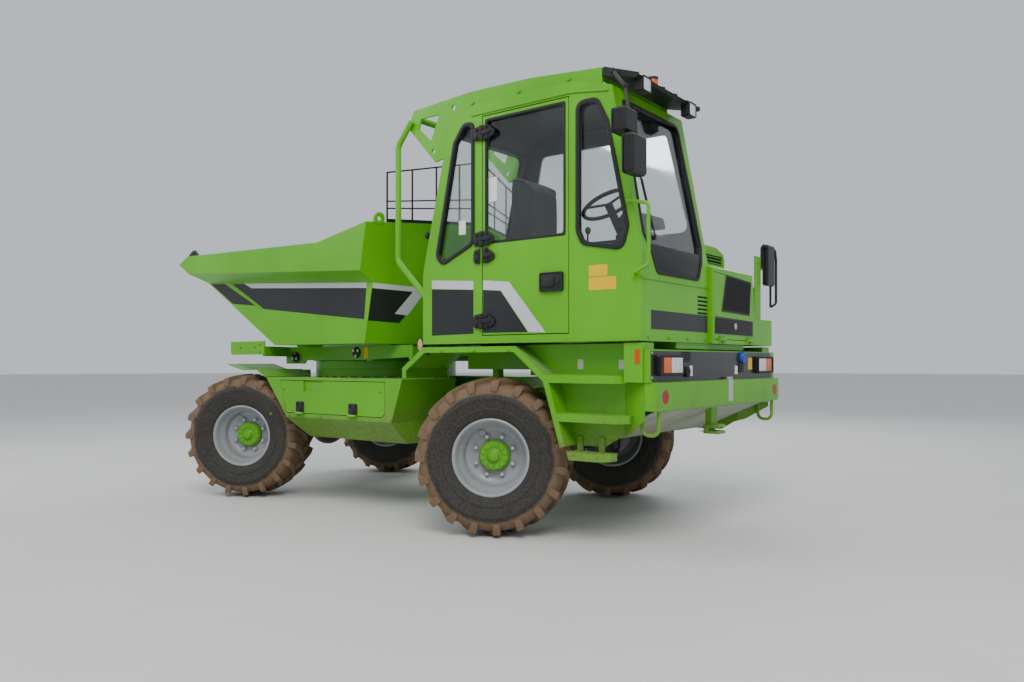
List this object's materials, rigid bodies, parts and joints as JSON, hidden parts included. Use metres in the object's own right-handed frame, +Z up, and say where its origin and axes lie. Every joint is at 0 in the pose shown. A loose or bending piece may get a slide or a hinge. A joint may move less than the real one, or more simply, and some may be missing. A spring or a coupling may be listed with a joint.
{
  "type": "site dumper",
  "caption": "Cabbed swivel-skip site dumper with four-wheel steering, a tipping skip on a slewing table, side lockers and an engine hood beside the cab.",
  "frame": {"origin": "on the ground under the centre of the vehicle's bounding box", "axes": "+X forward towards the skip, +Y towards the cab side, +Z up"},
  "size_m": [4.96, 2.7644, 3.057],
  "materials": {
    "green_paint": "gloss",
    "belly_paint": "dusty satin",
    "charcoal_paint": "satin",
    "black_paint": "satin",
    "silver_paint": "satin",
    "bright_rod": "polished",
    "tyre": "matte",
    "glass": "clear",
    "black_plastic": "matte",
    "seat_fabric": "woven",
    "cast_grey": "matte"
  },
  "bodies": {
    "chassis": {"cab_shell": "green_paint", "cab_roof": "green_paint", "hood": "green_paint", "side_boxes": "green_paint", "rear_bumper": "green_paint", "front_fenders": "green_paint", "rear_fenders": "green_paint", "rops_frame": "green_paint", "handrails": "green_paint", "lamp_panel": "green_paint", "chassis_frame": "green_paint", "tow_hitch": "green_paint", "ring_base": "green_paint", "cab_carrier": "green_paint", "belly_plate": "belly_paint", "axle_front": "charcoal_paint", "axle_rear": "charcoal_paint", "cab_floor": "black_paint", "cab_glass": "glass", "light_bar": "black_plastic", "mirrors": "black_plastic", "steering_console": "black_plastic", "seat_base": "black_plastic", "seat_cushion": "seat_fabric", "seat_back": "seat_fabric", "engine_block": "cast_grey"},
    "knuckle_front_near": {"knuckle_front_near": "charcoal_paint"},
    "wheel_front_near": {"tyre_front_near": "tyre", "rim_front_near": "silver_paint", "hub_front_near": "green_paint"},
    "knuckle_front_far": {"knuckle_front_far": "charcoal_paint"},
    "wheel_front_far": {"tyre_front_far": "tyre", "rim_front_far": "silver_paint", "hub_front_far": "green_paint"},
    "knuckle_rear_near": {"knuckle_rear_near": "charcoal_paint"},
    "wheel_rear_near": {"tyre_rear_near": "tyre", "rim_rear_near": "silver_paint", "hub_rear_near": "green_paint"},
    "knuckle_rear_far": {"knuckle_rear_far": "charcoal_paint"},
    "wheel_rear_far": {"tyre_rear_far": "tyre", "rim_rear_far": "silver_paint", "hub_rear_far": "green_paint"},
    "steer_rod_front": {"steer_rod_front": "bright_rod"},
    "steer_rod_rear": {"steer_rod_rear": "bright_rod"},
    "turntable": {"turntable": "green_paint"},
    "skip": {"skip": "green_paint", "skip_guard": "black_paint"},
    "tip_barrel": {"tip_cylinder_barrel": "black_paint"},
    "tip_rod": {"tip_cylinder_rod": "bright_rod"},
    "cab_door": {"cab_door": "green_paint", "door_glass": "glass"},
    "hatch_near": {"hatch_near": "green_paint"},
    "hatch_far": {"hatch_far": "green_paint"},
    "hood_door": {"hood_door": "green_paint"}
  },
  "joints": [
    {"name": "steer_front_near", "type": "hinge", "parent": "chassis", "child": "knuckle_front_near", "pos_m": [1.655, 0.777, 0.535], "axis": [0, 0, 1], "range_deg": [-58, 2]},
    {"name": "spin_front_near", "type": "hinge", "parent": "knuckle_front_near", "child": "wheel_front_near", "pos_m": [1.655, 0.777, 0.535], "axis": [-0.4695, 0.8829, 0], "continuous": true},
    {"name": "steer_front_far", "type": "hinge", "parent": "chassis", "child": "knuckle_front_far", "pos_m": [1.655, -0.777, 0.535], "axis": [0, 0, 1], "range_deg": [-58, 2]},
    {"name": "spin_front_far", "type": "hinge", "parent": "knuckle_front_far", "child": "wheel_front_far", "pos_m": [1.655, -0.777, 0.535], "axis": [-0.4695, 0.8829, 0], "continuous": true},
    {"name": "steer_rod_front_slide", "type": "slide", "parent": "chassis", "child": "steer_rod_front", "axis": [0, 1, 0], "range_m": [-0.006, 0.166]},
    {"name": "steer_rear_near", "type": "hinge", "parent": "chassis", "child": "knuckle_rear_near", "pos_m": [-1.12, 0.777, 0.535], "axis": [0, 0, 1], "range_deg": [-58, 2]},
    {"name": "spin_rear_near", "type": "hinge", "parent": "knuckle_rear_near", "child": "wheel_rear_near", "pos_m": [-1.12, 0.777, 0.535], "axis": [-0.4695, 0.8829, 0], "continuous": true},
    {"name": "steer_rear_far", "type": "hinge", "parent": "chassis", "child": "knuckle_rear_far", "pos_m": [-1.12, -0.777, 0.535], "axis": [0, 0, 1], "range_deg": [-58, 2]},
    {"name": "spin_rear_far", "type": "hinge", "parent": "knuckle_rear_far", "child": "wheel_rear_far", "pos_m": [-1.12, -0.777, 0.535], "axis": [-0.4695, 0.8829, 0], "continuous": true},
    {"name": "steer_rod_rear_slide", "type": "slide", "parent": "chassis", "child": "steer_rod_rear", "axis": [0, 1, 0], "range_m": [-0.166, 0.006]},
    {"name": "slew", "type": "hinge", "parent": "chassis", "child": "turntable", "pos_m": [0.83, 0, 1.118], "axis": [0, 0, 1], "range_deg": [-90, 90]},
    {"name": "tip", "type": "hinge", "parent": "turntable", "child": "skip", "pos_m": [1.3, 0, 1.22], "axis": [0, 1, 0], "range_deg": [0, 42]},
    {"name": "tip_barrel_pivot", "type": "hinge", "parent": "turntable", "child": "tip_barrel", "pos_m": [0.98, 0, 1.165], "axis": [0, 1, 0], "range_deg": [0, 52]},
    {"name": "tip_rod_slide", "type": "slide", "parent": "tip_barrel", "child": "tip_rod", "axis": [-0.9929, 0, 0.1187], "range_m": [0, 0.159]},
    {"name": "cab_door_hinge", "type": "hinge", "parent": "chassis", "child": "cab_door", "pos_m": [-1.177, 1.062, 2], "axis": [0, 0, 1], "range_deg": [-85, 0]},
    {"name": "hatch_near_hinge", "type": "hinge", "parent": "chassis", "child": "hatch_near", "pos_m": [0.44, 1.062, 0.7545], "axis": [1, 0, 0], "range_deg": [-100, 0]},
    {"name": "hatch_far_hinge", "type": "hinge", "parent": "chassis", "child": "hatch_far", "pos_m": [0.44, -1.062, 0.7545], "axis": [1, 0, 0], "range_deg": [0, 100]},
    {"name": "hood_door_hinge", "type": "hinge", "parent": "chassis", "child": "hood_door", "pos_m": [-2.432, -0.45, 1.332], "axis": [0, -1, 0], "range_deg": [0, 75]}
  ],
  "couplings": [
    {"joint": "steer_front_far", "follows": "steer_front_near", "ratio": 1},
    {"joint": "steer_rod_front_slide", "follows": "steer_front_near", "m_per_rad": -0.1628},
    {"joint": "steer_rear_far", "follows": "steer_rear_near", "ratio": 1},
    {"joint": "steer_rod_rear_slide", "follows": "steer_rear_near", "m_per_rad": 0.1628},
    {"joint": "tip_barrel_pivot", "follows": "tip", "ratio": 1.2333},
    {"joint": "tip_rod_slide", "follows": "tip", "m_per_rad": 0.2151}
  ]
}
